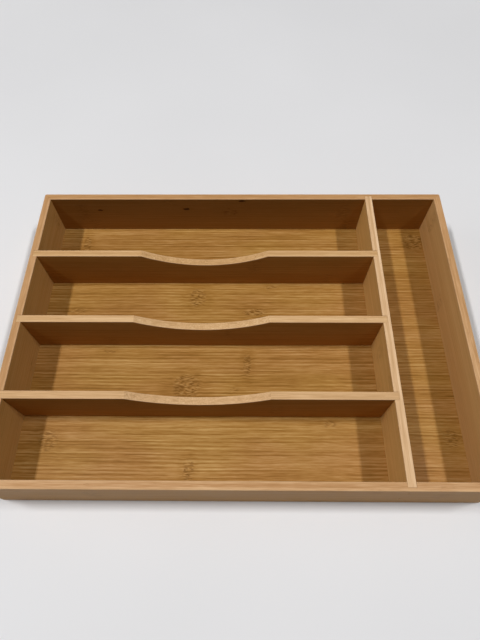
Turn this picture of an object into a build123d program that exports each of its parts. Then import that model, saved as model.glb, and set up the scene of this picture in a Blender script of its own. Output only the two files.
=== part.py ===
"""Bamboo cutlery tray: four mitred walls round a base panel that sits in their grooves, with
a long divider and three cross dividers let into open-topped housings.

Frame: millimetres, +X right, +Y to the back, +Z up, origin at the middle of the underside.
"""

from build123d import *
import os

os.makedirs("parts", exist_ok=True)

# Outside of the frame
tray_length = 355.0
tray_depth = 255.0
tray_height = 50.0
outer_corner_radius = 1.5
wall_arris_radius = 0.6

# Board thicknesses
wall_thickness = 6.0
divider_thickness = 6.0
panel_thickness = 5.0

# Compartments: a side one of this width, and rows of equal width beside it
side_compartment_width = 55.0
cross_divider_names = ["front_cross_divider", "middle_cross_divider", "back_cross_divider"]

# Base panel: the height of its underside, and its seat in the walls' grooves
panel_recess = 3.0
panel_groove_depth = 3.0
panel_expansion_gap = 0.5

# Joints: how deep a divider's end is let in, and the glue line between two boards
housing_depth = 3.5
glue_line = 0.1

# Finger scoop in the top of each cross divider, one circular arc
scoop_width = 106.0
scoop_depth = 13.0
divider_arris_radius = 0.4

# Steel brads: heads set just below the wood's face, two to a joint
brad_length = 20.0
brad_shank_radius = 0.6
brad_head_radius = 0.9
brad_head_height = 0.7
brad_point_length = 1.8
brad_set = 0.3
brad_clearance = 0.05
brad_inset = 10.0

# Places that follow from these sizes
floor_height = panel_recess + panel_thickness
inner_length = tray_length - 2 * wall_thickness
inner_depth = tray_depth - 2 * wall_thickness
divider_foot = floor_height + glue_line
divider_reach = housing_depth - glue_line
slot_width = divider_thickness + 2 * glue_line
row_count = len(cross_divider_names) + 1
row_pitch = (inner_depth + divider_thickness) / row_count
cross_divider_places = [
    row * row_pitch - (inner_depth + divider_thickness) / 2 for row in range(1, row_count)
]
long_divider_place = (inner_length - divider_thickness) / 2 - side_compartment_width
rows_left = -inner_length / 2
rows_right = long_divider_place - divider_thickness / 2
rows_length = rows_right - rows_left
rows_middle = (rows_left + rows_right) / 2
brad_heights = [floor_height + brad_inset, tray_height - brad_inset]
corner_brad_place = (tray_depth - wall_thickness) / 2


def cut_long_divider_housings():
    """Cuts what the long divider's ends need: a slot down to the base panel, open at the top."""
    with BuildSketch(Plane.XY.offset(floor_height)) as plan:
        with Locations((long_divider_place, 0)):
            Rectangle(slot_width, inner_depth + 2 * housing_depth)
    extrude(plan.sketch, amount=tray_height, mode=Mode.SUBTRACT)


def cut_cross_divider_housings():
    """Cuts what the cross dividers' ends need: slots down to the base panel, open at the top."""
    with BuildSketch(Plane.XY.offset(floor_height)) as plan:
        with Locations(*[(rows_middle, place) for place in cross_divider_places]):
            Rectangle(rows_length + 2 * housing_depth, slot_width)
    extrude(plan.sketch, amount=tray_height, mode=Mode.SUBTRACT)


def drill_brad_holes(planes):
    """Drills a seat for each brad, down along -Z of its plane, with room for its head."""
    with Locations(*planes):
        CounterBoreHole(
            radius=brad_shank_radius + brad_clearance,
            counter_bore_radius=brad_head_radius + brad_clearance,
            counter_bore_depth=brad_set + brad_head_height + brad_clearance,
            depth=brad_set + brad_length + brad_clearance,
        )


def side_brads(side, places):
    """Planes on the left (side -1) or right (side 1) wall's outer face, a pair at each place."""
    return [
        Plane(origin=(side * tray_length / 2, place, height), z_dir=(side, 0, 0))
        for place in places
        for height in brad_heights
    ]


def end_brads(side):
    """Planes on the front (side -1) or back (side 1) wall's face, behind the long divider."""
    return [
        Plane(origin=(long_divider_place, side * tray_depth / 2, height), z_dir=(0, side, 0))
        for height in brad_heights
    ]


def make_wall_board(outline):
    """A wall before its joints: the part of the frame's ring that lies inside an outline."""
    with BuildPart() as board:
        with BuildSketch():
            RectangleRounded(tray_length, tray_depth, outer_corner_radius)
            Rectangle(inner_length, inner_depth, mode=Mode.SUBTRACT)
        extrude(amount=tray_height)
        top, underside = board.faces().filter_by(Axis.Z).sort_by(Axis.Z, reverse=True)
        fillet([*top.edges(), *underside.outer_wire().edges()], radius=wall_arris_radius)
        with BuildSketch():
            with BuildLine():
                Polyline(*outline, close=True)
            make_face()
        extrude(amount=tray_height, mode=Mode.INTERSECT)
        with BuildSketch(Plane.XY.offset(panel_recess - glue_line)):
            Rectangle(inner_length + 2 * panel_groove_depth, inner_depth + 2 * panel_groove_depth)
        extrude(amount=panel_thickness + 2 * glue_line, mode=Mode.SUBTRACT)
    return board.part


def make_end_board(side):
    """The front (side -1) or back (side 1) wall's board, a glue line short of each mitre."""
    outer_end = tray_length / 2 - glue_line
    inner_end = inner_length / 2 - glue_line
    return make_wall_board(
        [
            (-outer_end, side * tray_depth / 2),
            (outer_end, side * tray_depth / 2),
            (inner_end, side * inner_depth / 2),
            (-inner_end, side * inner_depth / 2),
        ]
    )


def make_side_board(side):
    """The left (side -1) or right (side 1) wall's board, up to each mitre."""
    return make_wall_board(
        [
            (side * tray_length / 2, -tray_depth / 2),
            (side * tray_length / 2, tray_depth / 2),
            (side * inner_length / 2, inner_depth / 2),
            (side * inner_length / 2, -inner_depth / 2),
        ]
    )


# Front and back walls
for name, side in [("front_wall", -1), ("back_wall", 1)]:
    with BuildPart() as end_wall:
        add(make_end_board(side))
        cut_long_divider_housings()
        drill_brad_holes(end_brads(side))
        drill_brad_holes(side_brads(-1, [side * corner_brad_place]))
        drill_brad_holes(side_brads(1, [side * corner_brad_place]))
    end_wall.part.label = name
    export_step(end_wall.part, f"parts/{name}.step")

# Left wall, which carries the cross dividers' left ends
with BuildPart() as left_wall:
    add(make_side_board(-1))
    cut_cross_divider_housings()
    drill_brad_holes(side_brads(-1, [-corner_brad_place, *cross_divider_places, corner_brad_place]))
left_wall.part.label = "left_wall"
export_step(left_wall.part, "parts/left_wall.step")

# Right wall
with BuildPart() as right_wall:
    add(make_side_board(1))
    drill_brad_holes(side_brads(1, [-corner_brad_place, corner_brad_place]))
right_wall.part.label = "right_wall"
export_step(right_wall.part, "parts/right_wall.step")

# Base panel, loose in the grooves by its expansion gap all round
with BuildPart() as base_panel:
    with BuildSketch(Plane.XY.offset(panel_recess)):
        panel_reach = panel_groove_depth - panel_expansion_gap
        Rectangle(inner_length + 2 * panel_reach, inner_depth + 2 * panel_reach)
    extrude(amount=panel_thickness)
base_panel.part.label = "base_panel"
export_step(base_panel.part, "parts/base_panel.step")

# Long divider, from the front wall to the back wall
with BuildPart() as long_divider:
    with BuildSketch(Plane.XY.offset(divider_foot)):
        with Locations((long_divider_place, 0)):
            Rectangle(divider_thickness, inner_depth + 2 * divider_reach)
    extrude(amount=tray_height - divider_foot)
    top_arrises = long_divider.edges().filter_by(Axis.Y).group_by(Axis.Z)[-1]
    fillet(top_arrises, radius=divider_arris_radius)
    cut_cross_divider_housings()
    drill_brad_holes([*end_brads(-1), *end_brads(1)])
long_divider.part.label = "long_divider"
export_step(long_divider.part, "parts/long_divider.step")

# Cross dividers, from the left wall to the long divider
for name, place in zip(cross_divider_names, cross_divider_places):
    with BuildPart() as cross_divider:
        with BuildSketch(Plane.XZ.offset(-place)):
            with BuildLine():
                left_end = rows_left - divider_reach
                right_end = rows_right + divider_reach
                scoop_left = (rows_middle - scoop_width / 2, tray_height)
                scoop_bottom = (rows_middle, tray_height - scoop_depth)
                scoop_right = (rows_middle + scoop_width / 2, tray_height)
                ThreePointArc(scoop_left, scoop_bottom, scoop_right)
                Polyline(
                    scoop_right,
                    (right_end, tray_height),
                    (right_end, divider_foot),
                    (left_end, divider_foot),
                    (left_end, tray_height),
                    scoop_left,
                )
            make_face()
        extrude(amount=divider_thickness / 2, both=True)
        top_faces = cross_divider.faces().filter_by(Axis.Z).group_by(Axis.Z)[-1]
        scoop_face = cross_divider.faces().filter_by(GeomType.CYLINDER)
        top_edges = ShapeList([*top_faces, *scoop_face]).edges()
        arrises = [*top_edges.filter_by(Axis.X), *top_edges.filter_by(GeomType.CIRCLE)]
        fillet(arrises, radius=divider_arris_radius)
        drill_brad_holes(side_brads(-1, [place]))
    cross_divider.part.label = name
    export_step(cross_divider.part, f"parts/{name}.step")

# One brad: a flat head, a round shank and a cone for a point, with its head's top at the origin
with BuildPart() as brad:
    with BuildSketch(Plane.XZ):
        with BuildLine():
            Polyline(
                (0, 0),
                (brad_head_radius, 0),
                (brad_head_radius, -brad_head_height),
                (brad_shank_radius, -brad_head_height),
                (brad_shank_radius, brad_point_length - brad_length),
                (0, -brad_length),
                close=True,
            )
        make_face()
    revolve(axis=Axis.Z)

# Brads through the walls' mitres, and through the walls into the dividers' ends
corner_brad_planes = [
    plane for side in (-1, 1) for plane in side_brads(side, [-corner_brad_place, corner_brad_place])
]
divider_brad_planes = [*side_brads(-1, cross_divider_places), *end_brads(-1), *end_brads(1)]
for name, planes in [("corner_brads", corner_brad_planes), ("divider_brads", divider_brad_planes)]:
    with BuildPart() as brads:
        with Locations(*[plane.offset(-brad_set) for plane in planes]):
            add(brad.part)
    brads.part.label = name
    export_step(brads.part, f"parts/{name}.step")
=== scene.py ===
"""A bamboo cutlery tray on a pale table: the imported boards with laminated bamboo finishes, and
smooth cross dividers with their finger scoops."""

import math

import bpy
import numpy as np
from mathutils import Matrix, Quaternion, Vector


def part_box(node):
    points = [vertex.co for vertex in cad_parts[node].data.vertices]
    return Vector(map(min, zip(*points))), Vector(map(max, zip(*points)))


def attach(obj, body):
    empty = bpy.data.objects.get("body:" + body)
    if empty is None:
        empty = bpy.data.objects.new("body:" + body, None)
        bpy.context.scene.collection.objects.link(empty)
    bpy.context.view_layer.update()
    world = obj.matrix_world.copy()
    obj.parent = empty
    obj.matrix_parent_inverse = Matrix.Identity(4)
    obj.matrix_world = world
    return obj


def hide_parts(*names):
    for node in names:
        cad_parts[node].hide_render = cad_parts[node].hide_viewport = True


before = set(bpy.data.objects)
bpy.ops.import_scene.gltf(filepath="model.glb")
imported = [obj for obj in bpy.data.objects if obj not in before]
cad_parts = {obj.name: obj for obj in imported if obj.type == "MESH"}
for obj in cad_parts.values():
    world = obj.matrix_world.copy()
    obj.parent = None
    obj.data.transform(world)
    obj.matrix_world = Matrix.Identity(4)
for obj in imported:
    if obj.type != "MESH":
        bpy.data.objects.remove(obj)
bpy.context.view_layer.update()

MM = 0.001

# Grain frames: the axes along the fibres, across a board's width and through its thickness
ALONG_X = ("x", "z", "y")
ALONG_Y = ("y", "z", "x")
FLAT = ("x", "y", "z")

# Laminate, in millimetres: strips side by side in plies, how far apart their fibres are drawn
# from one pattern, and the rings of the culm in each strip
STRIP_WIDTH = 21.0
PLY_THICKNESS = 2.05
STRIP_SHIFT = 90.0
RING_SPACING = 240.0
RING_REACH = 7.0

# Where a mark and its halo start and where they are whole, in squares of the mark's reach
MARK_FADE = (1.3, 0.3)
HALO_FADE = (5.0, 0.5)

# Fibre lines, in millimetres: how far apart and how wide they are, and over what length the dark
# ones and the pale ones between them fade in and out
LINE_SPACING = 2.9
LINE_WIDTH = 0.56
DARK_FADE = 60.0
PALE_FADE = 45.0

# Sizes of the noises, in millimetres: length along the fibres and width across them, or one size
BROAD = (150.0, 6.0)
STREAK = (80.0, 1.3)
THREAD = (10.0, 0.7)
FLECK = (4.2, 0.8)
CLOUD = (70.0, 30.0)
WANDER = (150.0, 18.0)
WAVER = (9.0, 4.0)
CUT_FIBRE = (14.0, 0.6)
FIBRE_END = (1.3, 0.9)
STEEL_MOTTLE = 0.4
TABLE_CLOUD = 260.0

# How far, in millimetres, the fibres wander along a board, and how far they and the flecks bend
# round a ring
WANDER_REACH = 2.4
FIBRE_BEND = 3.2
FLECK_BEND = 3.6

# Sanded edges, in millimetres: how far down from a board's top they are whole, where they end,
# and how wide the paler arris is, which is partly sanded wear and partly a painted highlight
EDGE_WHOLE = 0.25
EDGE_END = 0.9
ARRIS_WIDTH = 1.4

# Wood's gloss as the shader's specular level, and the depth of its relief in metres
SHEEN = 0.08
WOOD_RELIEF = 0.12 * MM
STEEL_RELIEF = 0.05 * MM

# Colours, as linear values: a face's tone from dark to pale, the same for sanded edges, and what
# lies over them
TONES = [(0.0, (0.205, 0.086, 0.013)), (0.3, (0.298, 0.134, 0.026)), (0.5, (0.376, 0.182, 0.045)),
         (0.7, (0.456, 0.242, 0.076)), (1.0, (0.590, 0.352, 0.135))]
EDGE_TONES = [(0.0, (0.370, 0.180, 0.060)), (0.45, (0.480, 0.250, 0.098)),
              (0.65, (0.540, 0.300, 0.130)), (1.0, (0.660, 0.400, 0.190))]
PALE_TONES = [(0.0, (0.470, 0.262, 0.105)), (0.45, (0.600, 0.355, 0.160)),
              (0.65, (0.650, 0.400, 0.190)), (1.0, (0.740, 0.490, 0.255))]
OLIVE = (0.92, 0.98, 0.66, 1.0)
FLECK_BROWN = (0.150, 0.060, 0.008, 1.0)
FLECK_PALE = (0.560, 0.330, 0.120, 1.0)
KNOT_BROWN = (0.075, 0.028, 0.005, 1.0)
# Paler arris: partly sanded wear, partly a painted highlight along the rounded edge
ARRIS_PALE_AND_HIGHLIGHT = (0.740, 0.500, 0.280, 1.0)
STEEL_TONES = [(0.3, (0.40, 0.39, 0.38)), (0.7, (0.62, 0.62, 0.62))]
TABLE_WHITE = (0.800, 0.798, 0.810)

# What a board's own tint multiplies red, green and blue by, and the powers of its paleness that
# they also get: higher for blue, because paler bamboo is greyer
PLAIN_TINT = (1.0, 1.0, 1.0)
PANEL_TINT = (1.0, 1.005, 1.08)
LONG_DIVIDER_TINT = (1.03, 0.99, 0.86)
CROSS_DIVIDER_TINT = (1.01, 0.92, 0.74)
PALENESS_POWERS = (1.0, 1.45, 2.55)

# Places where a ring of the culm or a knot shows: along and across the grain in millimetres, the
# reach each way, and a weight, where one above 1 is a solid dark knot
PANEL_MARKS = [
    (-44, -40, 12, 11, 0.95), (5.5, -21, 3.6, 10.5, 0.9), (-5, -43, 5, 2.5, 0.6),
    (-39, 44, 8, 10.5, 0.95), (12, 29, 11, 4, 1.0), (-144, 30, 8, 2.5, 0.7), (27, 55, 7, 2, 0.7),
    (-147, 102, 4, 11, 0.9), (-39, -107, 4.5, 10, 0.8), (70, -71, 6, 3, 0.6), (-149, -85, 8, 9, 0.7),
    # The ring at 164, 106 is a real mark drawn larger and darker, partly as painted shade in the
    # side compartment's back right corner
    (-111, -9, 6, 1.5, 0.6), (164, 106, 12, 10, 1.0), (163, -82, 7, 8, 0.7),
]
BACK_WALL_MARKS = [
    (-130.4, 35.4, 2.6, 1.2, 2.0), (-50.4, 36.8, 3.6, 1.7, 2.0), (0.5, 47.6, 3.4, 1.3, 2.0),
    (-10.6, 33.0, 8.0, 6.0, 0.5),
]

# Scoop of the cross dividers, in millimetres: its radius follows from its chord and its depth
SCOOP_WIDTH = 106.0
SCOOP_DEPTH = 13.0
SCOOP_RADIUS = (SCOOP_WIDTH**2 / 4 + SCOOP_DEPTH**2) / (2 * SCOOP_DEPTH)
SCOOP_STEPS = 96
DIVIDER_ARRIS = 0.4
ARRIS_STEPS = 5

# Camera and lamps: places and sizes in metres, powers in watts
CAMERA_PLACE = (0.00352, -0.17952, 0.38451)
CAMERA_AIM = (-0.00100, 0.02569, 0.0)
CAMERA_ROLL = -0.98
CAMERA_LENS = 27.46
CAMERA_SENSOR = 36.0
LAMPS = [("left_lamp", (-1.17, 0, 2.3), (0.50, 0.12), 35.0),
         ("right_lamp", (1.18, 0, 2.3), (0.50, 0.12), 29.5),
         ("side_lamp", (-3.20, 0.15, 1.35), (1.30, 1.30), 13.0)]
FILL = 0.025

# Table's size in metres, the background's brightness, and how far from the tray, in millimetres,
# the table fades into it
TABLE_SIZE = 8.0
BACKGROUND = 0.77
FADE_NEAR = 500.0
FADE_FAR = 1050.0


class Varying:
    """A quantity that varies over a surface: maths on it adds Math nodes to its finish."""

    def __init__(self, finish, socket):
        self.finish = finish
        self.socket = socket

    def maths(self, operation, *terms):
        return self.finish.node("ShaderNodeMath", {"operation": operation}, dict(enumerate(terms)))

    def __add__(self, other):
        return self.maths("ADD", self, other)

    def __sub__(self, other):
        return self.maths("SUBTRACT", self, other)

    def __rsub__(self, other):
        return self.maths("SUBTRACT", other, self)

    def __mul__(self, other):
        return self.maths("MULTIPLY", self, other)

    def __truediv__(self, other):
        return self.maths("DIVIDE", self, other)

    def __pow__(self, other):
        return self.maths("POWER", self, other)

    __radd__ = __add__
    __rmul__ = __mul__

    def floor(self):
        return self.maths("FLOOR", self)

    def fraction(self):
        return self.maths("FRACT", self)

    def size(self):
        return self.maths("ABSOLUTE", self)

    def larger(self, other):
        return self.maths("MAXIMUM", self, other)

    def smaller(self, other):
        return self.maths("MINIMUM", self, other)

    def step(self, low, high):
        """0 below low, 1 above high and smooth between; low may be the larger of the two."""
        settings = {"interpolation_type": "SMOOTHSTEP"}
        return self.finish.node("ShaderNodeMapRange", settings, {0: self, 1: low, 2: high})


class Finish:
    """The nodes of a material or a world, all made by one method round its own shader."""

    def __init__(self, owner, shader="Principled BSDF"):
        owner.use_nodes = True
        self.owner = owner
        self.tree = owner.node_tree
        self.shader = self.tree.nodes[shader]

    def feed(self, sockets, inputs):
        """Links or sets sockets, which the inputs name or number."""
        for name, value in inputs.items():
            if isinstance(value, Varying):
                self.tree.links.new(value.socket, sockets[name])
            else:
                sockets[name].default_value = value

    def set_stops(self, ramp, stops):
        while len(ramp.elements) < len(stops):
            ramp.elements.new(0.5)
        for element, (position, colour) in zip(ramp.elements, stops):
            element.position = position
            element.color = (*colour, 1.0)

    def node(self, kind, settings, inputs, output=0):
        """Adds a node, sets its settings, feeds its inputs and gives one of its outputs."""
        made = self.tree.nodes.new(kind)
        for name, value in settings.items():
            if name == "stops":
                self.set_stops(made.color_ramp, value)
            else:
                setattr(made, name, value)
        self.feed(made.inputs, inputs)
        return Varying(self, made.outputs[output])

    def shade(self, inputs):
        """Feeds the shader's own sockets."""
        self.feed(self.shader.inputs, inputs)

    def place(self):
        """The three Object coordinates, in millimetres, by the names of their axes."""
        coordinates = self.node("ShaderNodeTexCoord", {}, {}, "Object")
        return {
            axis: self.node("ShaderNodeSeparateXYZ", {}, {0: coordinates}, axis.upper()) / MM
            for axis in "xyz"
        }

    def noise(self, terms, detail):
        """Smooth noise from about 0.2 to 0.8, on three coordinates in units of its own grain."""
        vector = self.node("ShaderNodeCombineXYZ", {}, dict(enumerate(terms)))
        return self.node("ShaderNodeTexNoise", {}, {"Vector": vector, "Scale": 1, "Detail": detail})

    def chances(self, terms):
        """Three even random numbers for each cell that three whole numbers name."""
        vector = self.node("ShaderNodeCombineXYZ", {}, dict(enumerate(terms)))
        colour = self.node("ShaderNodeTexWhiteNoise", {}, {"Vector": vector}, "Color")
        return [self.node("ShaderNodeSeparateColor", {}, {0: colour}, part) for part in range(3)]

    def ramp(self, factor, stops):
        return self.node("ShaderNodeValToRGB", {"stops": stops}, {0: factor})

    def mix(self, factor, first, second, blend="MIX"):
        """Blends two colours; the Mix node's colour sockets are 6 and 7, and its output 2."""
        settings = {"data_type": "RGBA", "blend_type": blend, "clamp_factor": True}
        return self.node("ShaderNodeMix", settings, {0: factor, 6: first, 7: second}, 2)

    def bump(self, height, strength, depth):
        inputs = {"Strength": strength, "Distance": depth, "Height": height}
        return self.node("ShaderNodeBump", {}, inputs)

    def seen_directly(self):
        """1 for rays that see or mirror the surface, and 0 for those that it only lights."""
        seen = [
            self.node("ShaderNodeLightPath", {}, {}, f"Is {kind} Ray")
            for kind in ("Camera", "Glossy", "Transmission")
        ]
        return seen[0].larger(seen[1]).larger(seen[2])


def box_mm(node):
    """A CAD node's lowest and highest corners in millimetres, by the names of the axes."""
    low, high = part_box(node)
    return dict(zip("xyz", low / MM)), dict(zip("xyz", high / MM))


def below_scoop(place, divider_box):
    """How far a point lies outside the scoop's circle, in millimetres."""
    low, high = divider_box
    sideways = place["x"] - (low["x"] + high["x"]) / 2
    upwards = place["z"] - (high["z"] - SCOOP_DEPTH + SCOOP_RADIUS)
    return (sideways**2 + upwards**2) ** 0.5 - SCOOP_RADIUS


def paler(paleness, tint=PLAIN_TINT):
    """A board's own colour, as what it multiplies red, green and blue by."""
    return (*(share * paleness**power for share, power in zip(tint, PALENESS_POWERS)), 1.0)


def culm_rings(along, across, phase, ring_weight, marks):
    """How much of a ring or a knot there is at a point, and of the wider halo round it.

    A strip's own rings are RING_SPACING apart and fall off with the square of the distance. Each
    of the marks fades over an ellipse of its reach, and its halo over a larger one."""
    ring = ((along / RING_SPACING + phase).fraction() - 0.5) * RING_SPACING
    mark = (1 - (ring / RING_REACH) ** 2).larger(0.0) * ring_weight
    halo = mark
    for mark_along, mark_across, reach_along, reach_across, weight in marks:
        spread = ((along - mark_along) / reach_along) ** 2
        spread = spread + ((across - mark_across) / reach_across) ** 2
        mark = mark.larger(spread.step(*MARK_FADE) * weight)
        halo = halo.larger(spread.step(*HALO_FADE) * weight)
    return mark, halo


def fibre_lines(finish, along, fibre, unevenness, ply, chance):
    """Dark lines along the fibres at uneven spacing, and pale ones midway between them."""
    count = fibre / LINE_SPACING + unevenness
    line = count.floor()
    off_middle = (count - line - 0.5).size()
    off_dark = off_middle * LINE_SPACING
    off_pale = (0.5 - off_middle) * LINE_SPACING
    dark_fade = finish.noise([along / DARK_FADE, line * 5.7, ply * 3.3 + chance], 1.0)
    pale_fade = finish.noise([along / PALE_FADE, line * 7.9, ply * 2.1 + (chance + 40)], 1.0)
    dark = off_dark.step(LINE_WIDTH * 1.3, LINE_WIDTH * 0.3) * dark_fade.step(0.40, 0.58)
    pale = off_pale.step(LINE_WIDTH * 1.5, LINE_WIDTH * 0.3) * pale_fade.step(0.46, 0.62)
    return dark, pale


def bamboo(node, grain, chance, paleness, contrast, edge_tones=None, edge_paleness=1.0,
           marks=(), ring_weight=0.0, scooped=False, tint=PLAIN_TINT):
    """Laminated bamboo as a solid pattern in the board's own grain frame. Strips in plies have
    tones of their own, dark fibre lines run along them, flecks gather where a ring of the culm
    crossed a strip, and the sanded top edge is paler than the faces. The number chance makes each
    board's pattern its own."""
    finish = Finish(bpy.data.materials.new(f"{node}_bamboo"))
    place = finish.place()
    low, high = box_mm(node)
    along, across, through = (place[axis] for axis in grain)
    depth = through - (low[grain[2]] + high[grain[2]]) / 2

    def grain_noise(size, sideways, detail, shift=0):
        """Noise as long along the board and as wide across it as the size says."""
        length, width = size
        terms = [along / length, sideways / width, depth / width + (chance + shift)]
        return finish.noise(terms, detail)

    # Strips, plies and the rings of the culm
    strip = ((across - low[grain[1]]) / STRIP_WIDTH + 0.37 * chance).floor()
    ply = (depth / PLY_THICKNESS + 0.5).floor()
    tone, hue, phase = finish.chances([strip, ply, chance])
    mark, halo = culm_rings(along, across, phase, ring_weight, marks)

    # Fibres: they wander a little, bend round the rings, and start anew in each strip
    wander = grain_noise(WANDER, across, 1.0) - 0.5
    waver = grain_noise(WAVER, across, 1.0) - 0.5
    fibre = across + wander * WANDER_REACH + waver * halo * FIBRE_BEND + tone * STRIP_SHIFT
    broad = grain_noise(BROAD, fibre, 2.0)
    streak = grain_noise(STREAK, fibre, 2.0)
    thread = grain_noise(THREAD, fibre, 2.0)
    fleck = grain_noise(FLECK, across + waver * FLECK_BEND, 1.0)
    cloud = grain_noise(CLOUD, across, 1.0)
    line_dark, line_pale = fibre_lines(finish, along, fibre, broad * 0.9, ply, chance)

    # Face: what each part adds to its tone, from 0, dark, to 1, pale, and then its colour
    shade = (broad - 0.5) * 0.60 + (streak - 0.5) * 0.60 + (thread - 0.5) * 0.72
    shade = shade - line_dark * 0.25 + line_pale * 0.14
    shade = shade + (tone - 0.5) * 0.09 + (cloud - 0.5) * 0.30 - halo * 0.10
    face = finish.ramp(shade * contrast + 0.5, TONES)
    olive = (cloud.step(0.35, 0.65) * 0.40 + hue * 0.14) * contrast
    face = finish.mix(olive, face, OLIVE, "MULTIPLY")
    face = finish.mix(1.0, face, paler(paleness, tint), "MULTIPLY")
    dark_fleck = fleck.step(0.50, 0.42) * mark
    face = finish.mix(dark_fleck * 0.84, face, FLECK_BROWN)
    face = finish.mix(fleck.step(0.54, 0.64) * mark * 0.38, face, FLECK_PALE)
    face = finish.mix((mark - 1).larger(0.0) * 0.9, face, KNOT_BROWN)

    # Sanded edge, by how far below the board's top or its scoop the point lies, and a paler arris
    # that is partly a painted highlight
    colour = face
    if edge_tones:
        below = high["z"] - place["z"]
        cut = grain_noise(CUT_FIBRE, fibre, 0.0, 9)
        specks = (cut.step(0.56, 0.66) - cut.step(0.44, 0.34)) * 0.14
        if scooped:
            # The scoop cuts the fibres at a slant, so that in places their ends show as specks
            off_scoop = below_scoop(place, (low, high)).size()
            below = below.smaller(off_scoop)
            ends = grain_noise(FIBRE_END, across, 0.0, 20)
            slanted = off_scoop.step(EDGE_END, EDGE_WHOLE) * cloud.step(0.42, 0.60) * 0.18
            specks = specks + (ends.step(0.54, 0.68) - ends.step(0.46, 0.32)) * slanted
        edge = finish.ramp(shade * 0.65 + specks + (tone - 0.5) * 0.35 + 0.5, edge_tones)
        edge = finish.mix(1.0, edge, paler(edge_paleness), "MULTIPLY")
        edge = finish.mix(fleck.step(0.42, 0.30) * mark * 0.6, edge, FLECK_BROWN)
        colour = finish.mix(below.step(EDGE_END, EDGE_WHOLE), face, edge)
        # Arris: a paler line along the top edge, partly sanded wear and partly a painted highlight
        # where the rounded edge catches the light
        half = (high[grain[2]] - low[grain[2]]) / 2
        worn_and_highlit_arris = (1 - (below + (half - depth.size())) / ARRIS_WIDTH).larger(0.0)
        colour = finish.mix(worn_and_highlit_arris * 0.35, colour, ARRIS_PALE_AND_HIGHLIGHT)

    relief = streak * 0.5 + thread * 0.3 - line_dark * 0.3 - dark_fleck * 0.2
    finish.shade({
        "Base Color": colour,
        "Roughness": 0.50 + (0.5 - streak) * 0.30 + (thread - 0.5) * 0.10,
        "Normal": finish.bump(relief, 0.35, WOOD_RELIEF),
        "Specular IOR Level": SHEEN,
    })
    return finish.owner


def bright_steel():
    """Drawn steel: pale grey with a fine mottle and a little dullness in it."""
    finish = Finish(bpy.data.materials.new("brad_steel"))
    mottle = finish.noise([coordinate / STEEL_MOTTLE for coordinate in finish.place().values()], 3.0)
    finish.shade({
        "Base Color": finish.ramp(mottle, STEEL_TONES),
        "Metallic": 1.0,
        "Roughness": 0.28 + mottle * 0.25,
        "Normal": finish.bump(mottle, 0.2, STEEL_RELIEF),
    })
    return finish.owner


def pale_table():
    """A plain pale tabletop with a faint cloudiness. Far from the tray it fades into the
    background's own brightness, so that no dark horizon shows."""
    finish = Finish(bpy.data.materials.new("table"))
    place = finish.place()
    cloud = finish.noise([place["x"] / TABLE_CLOUD, place["y"] / TABLE_CLOUD, 0.0], 2.0)
    darker = tuple(part * 0.97 for part in TABLE_WHITE)
    finish.shade({
        "Base Color": finish.ramp(cloud, [(0.35, darker), (0.65, TABLE_WHITE)]),
        "Roughness": 0.6,
        "Specular IOR Level": 0.2,
    })

    # The far part glows at the background's strength for the rays that see or mirror it
    reach = (place["x"] ** 2 + place["y"] ** 2) ** 0.5
    seen = finish.seen_directly() * reach.step(FADE_NEAR, FADE_FAR)
    glow = finish.node("ShaderNodeEmission", {}, {"Color": (BACKGROUND, BACKGROUND, BACKGROUND, 1)})
    shader = Varying(finish, finish.shader.outputs[0])
    blend = finish.node("ShaderNodeMixShader", {}, {0: seen, 1: shader, 2: glow})
    finish.feed(finish.tree.nodes["Material Output"].inputs, {"Surface": blend})
    return finish.owner


def make_piece(name, points, faces, material):
    """A mesh object at the origin from arrays of points, in metres, and of faces."""
    mesh = bpy.data.meshes.new(name)
    mesh.from_pydata(points, [], faces)
    mesh.polygons.foreach_set("use_smooth", [True] * len(mesh.polygons))
    mesh.set_sharp_from_angle(angle=math.radians(20))
    mesh.materials.append(material)
    piece = bpy.data.objects.new(name, mesh)
    bpy.context.scene.collection.objects.link(piece)
    return piece


def scooped_board(node, material):
    """A cross divider whose section is carried along X while its top dips in a circular scoop.

    Each station along X has the same closed section of points: a square foot and a top with
    quarter-round arrises. The points of the top hang from the height that the scoop's circle
    gives there: top - depth + radius - sqrt(radius^2 - offset^2)."""
    low, high = (Vector(corner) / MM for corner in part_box(node))
    middle = (low + high) / 2
    half = (high.y - low.y) / 2

    # Section: how far each of its points is across, and how far it falls below the top's height;
    # the two points of the foot, which have a height of their own, get no number
    turn = np.linspace(0, math.pi / 2, ARRIS_STEPS + 1)
    side = half - DIVIDER_ARRIS * (1 - np.cos(turn))
    fall = DIVIDER_ARRIS * (1 - np.sin(turn))
    across = np.concatenate([[half], side, -side[::-1], [-half]])
    fall = np.concatenate([[np.nan], fall, fall[::-1], [np.nan]])

    # Stations: the two ends, and the scoop between them
    scoop = np.linspace(-SCOOP_WIDTH / 2, SCOOP_WIDTH / 2, SCOOP_STEPS + 1)
    offset = np.concatenate([[low.x - middle.x], scoop, [high.x - middle.x]])
    circle = np.sqrt(np.maximum(SCOOP_RADIUS**2 - offset**2, 0))
    top = high.z - np.maximum(0, circle - (SCOOP_RADIUS - SCOOP_DEPTH))

    x = np.repeat((offset + middle.x)[:, None], len(across), 1)
    y = np.repeat((across + middle.y)[None, :], len(offset), 0)
    z = np.where(np.isnan(fall)[None, :], low.z, top[:, None] - fall[None, :])
    points = np.stack([x, y, z], -1).reshape(-1, 3) * MM

    # Faces: four-sided ones between two stations, and one at each end
    count = len(across)
    station = np.arange(len(offset) - 1)[:, None] * count
    here = np.arange(count)[None, :]
    after = (here + 1) % count
    corners = [station + here, station + after, station + count + after, station + count + here]
    sides = np.stack(corners, -1).reshape(-1, 4).tolist()
    left_end = list(range(count))[::-1]
    right_end = list(range(len(points) - count, len(points)))
    return make_piece(f"{node}_board", points, [*sides, left_end, right_end], material)


def set_material(node, material):
    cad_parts[node].material_slots[0].material = material
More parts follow.
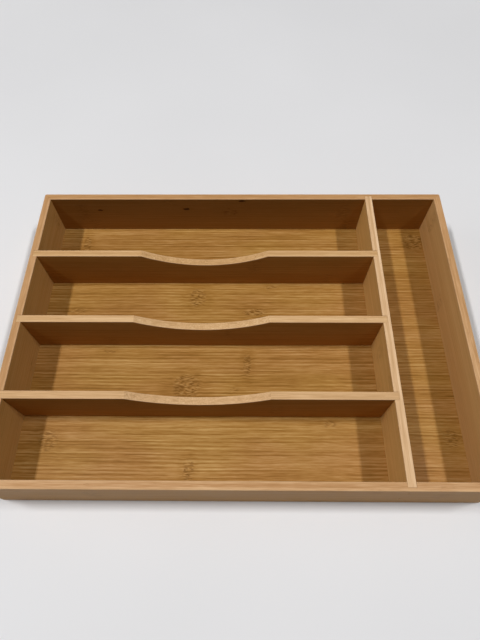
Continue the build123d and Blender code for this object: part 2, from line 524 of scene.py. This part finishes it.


# Walls: caramel bamboo with orange-tan sanded edges. The right wall is drawn paler than the left one
# as painted light: the extra paleness stands in for stronger light on its inner face, which looks to
# the left
for node, grain, chance, paleness, contrast, edge_paleness, marks in [
    ("front_wall", ALONG_X, 3, 1.17, 0.26, 1.09, []),
    ("back_wall", ALONG_X, 8, 1.01, 0.26, 1.02, BACK_WALL_MARKS),
    ("left_wall", ALONG_Y, 14, 1.24, 0.24, 1.13, []),
    # Right wall: its paleness of 1.50 is partly painted light on its inner face
    ("right_wall", ALONG_Y, 21, 1.50, 0.17, 1.07, []),
]:
    set_material(node, bamboo(node, grain, chance, paleness, contrast, EDGE_TONES,
                              edge_paleness, marks, ring_weight=0.35))

# Base panel: the liveliest grain, in strips along the tray
set_material("base_panel", bamboo("base_panel", FLAT, 4, 1.03, 1.0, marks=PANEL_MARKS,
                                  tint=PANEL_TINT))

# Dividers: paler bamboo. The long divider is paler still, partly as painted light on its faces that
# look to the left
set_material("long_divider", bamboo("long_divider", ALONG_Y, 31, 1.48, 0.28, PALE_TONES, 1.17,
                                    ring_weight=0.3, tint=LONG_DIVIDER_TINT))
for node, chance, paleness, edge_paleness in [
    ("front_cross_divider", 37, 1.12, 1.09), ("middle_cross_divider", 44, 1.18, 1.03),
    ("back_cross_divider", 52, 1.11, 0.97),
]:
    material = bamboo(node, ALONG_X, chance, paleness, 0.34, PALE_TONES, edge_paleness,
                      ring_weight=0.3, scooped=True, tint=CROSS_DIVIDER_TINT)
    piece = scooped_board(node, material)
    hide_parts(node)
    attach(piece, "root")

# Brads
steel = bright_steel()
for node in ("corner_brads", "divider_brads"):
    set_material(node, steel)

# Table
bpy.ops.mesh.primitive_plane_add(size=TABLE_SIZE)
table = bpy.context.object
table.name = "table"
table.data.materials.append(pale_table())

# World: a dim even fill, and a pale background where it is seen directly or mirrored
studio = Finish(bpy.data.worlds.new("studio"), "Background")
studio.shade({
    "Color": (1.0, 1.0, 1.0, 1.0),
    "Strength": studio.seen_directly() * (BACKGROUND - FILL) + FILL,
})
bpy.context.scene.world = studio.owner

# Lamps: a soft box overhead on each side, and a wide weak one low on the left
for name, place, size, power in LAMPS:
    light = bpy.data.lights.new(name, "AREA")
    light.shape = "RECTANGLE"
    light.size, light.size_y = size
    light.energy = power
    lamp = bpy.data.objects.new(name, light)
    lamp.location = place
    lamp.rotation_euler = (-Vector(place)).to_track_quat("-Z", "Y").to_euler()
    bpy.context.scene.collection.objects.link(lamp)

# Camera
camera = bpy.data.objects.new("camera", bpy.data.cameras.new("camera"))
camera.data.sensor_fit = "VERTICAL"
camera.data.sensor_height = CAMERA_SENSOR
camera.data.lens = CAMERA_LENS
camera.data.clip_start = 0.01
view = Vector(CAMERA_AIM) - Vector(CAMERA_PLACE)
roll = Quaternion((0, 0, 1), math.radians(CAMERA_ROLL))
camera.rotation_mode = "QUATERNION"
camera.rotation_quaternion = view.to_track_quat("-Z", "Y") @ roll
camera.location = CAMERA_PLACE
bpy.context.scene.collection.objects.link(camera)
bpy.context.scene.camera = camera

bpy.context.scene.view_settings.view_transform = "Standard"
